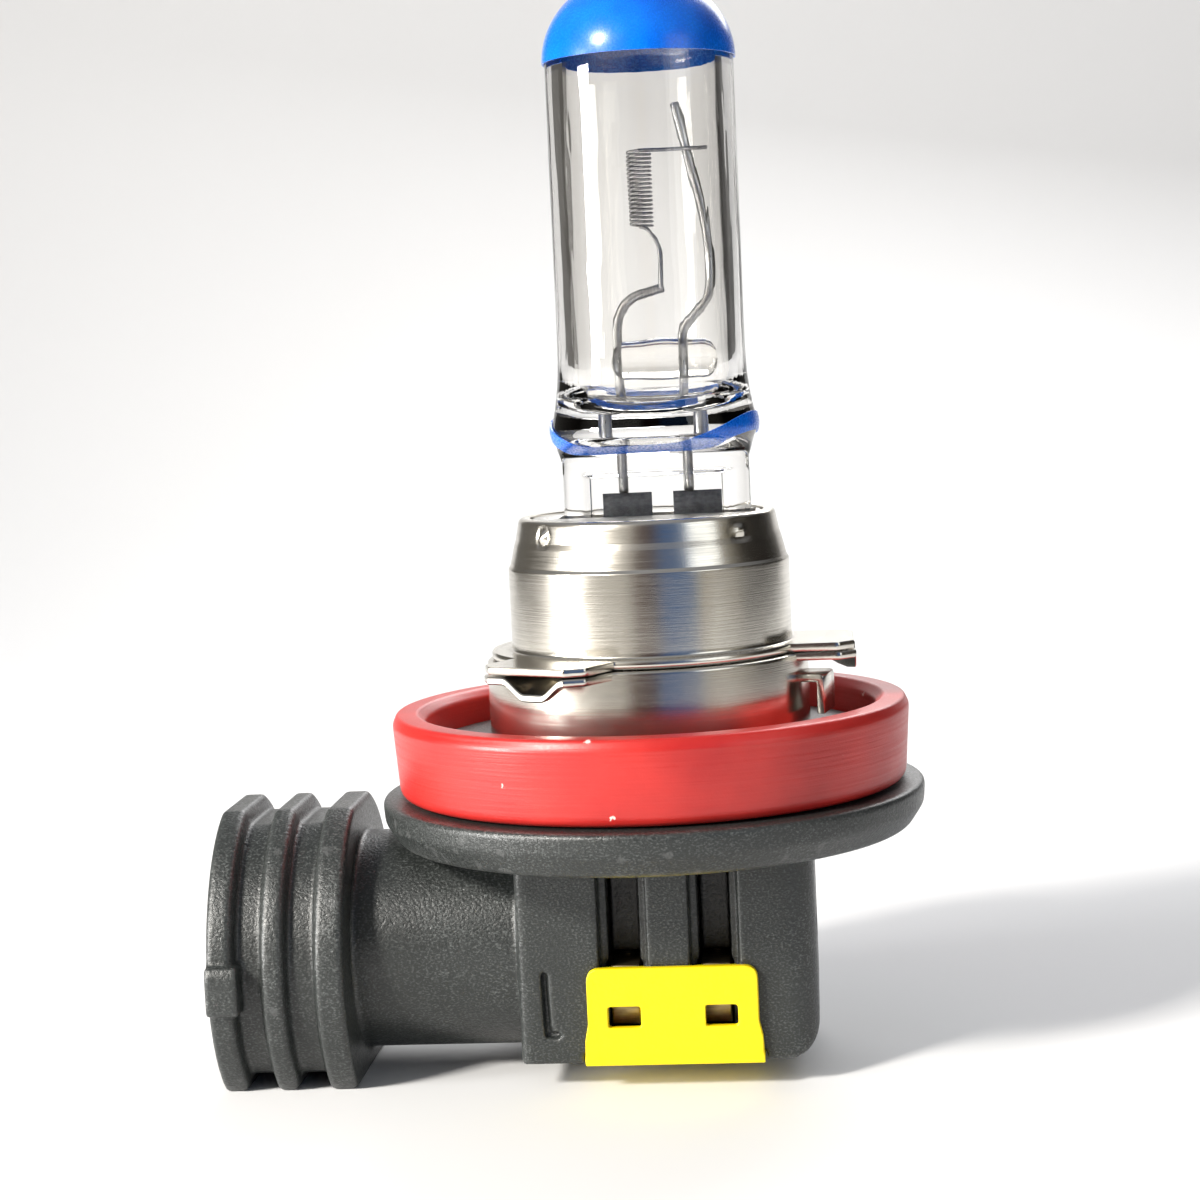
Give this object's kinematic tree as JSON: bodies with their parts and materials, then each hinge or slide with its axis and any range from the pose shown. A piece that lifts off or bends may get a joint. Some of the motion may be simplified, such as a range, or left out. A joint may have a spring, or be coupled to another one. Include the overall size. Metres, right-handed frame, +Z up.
{
  "type": "headlight bulb",
  "caption": "Halogen headlight bulb: blue-tipped glass burner in a steel bayonet cap, red seal and black base with a right-angle plug socket.",
  "frame": {"origin": "on the bulb's axis, at the flat underside of the base", "axes": "+Z up the axis to the glass tip; the plug socket opens towards -X; the terminal windows face -Y"},
  "size_m": [0.0417, 0.0322, 0.0664],
  "materials": {
    "black_plastic": "moulded, glass-filled, fine pale speckle",
    "yellow_plastic": "moulded, satin",
    "red_silicone": "smooth satin silicone",
    "stainless_steel": "drawn sheet, brushed round the axis",
    "spring_steel": "rolled strip",
    "clear_glass": "polished",
    "blue_film": "glossy translucent lacquer",
    "tungsten": "drawn wire",
    "molybdenum": "drawn wire",
    "molybdenum_foil": "etched foil, dull",
    "nickel_wire": "plated wire",
    "contact_brass": "stamped strip"
  },
  "bodies": {
    "root": {"base_housing": "black_plastic", "window_cover": "yellow_plastic", "seal_ring": "red_silicone", "collar_ring": "stainless_steel", "cap_shell": "stainless_steel", "burner_clip": "spring_steel", "glass_envelope": "clear_glass", "tip_coating": "blue_film", "neck_coating": "blue_film", "glass_bridge": "clear_glass", "filament": "tungsten", "long_lead_wire": "molybdenum", "short_lead_wire": "molybdenum", "foil_left": "molybdenum_foil", "outer_pin_left": "nickel_wire", "terminal_left": "contact_brass", "foil_right": "molybdenum_foil", "outer_pin_right": "nickel_wire", "terminal_right": "contact_brass"}
  },
  "joints": []
}
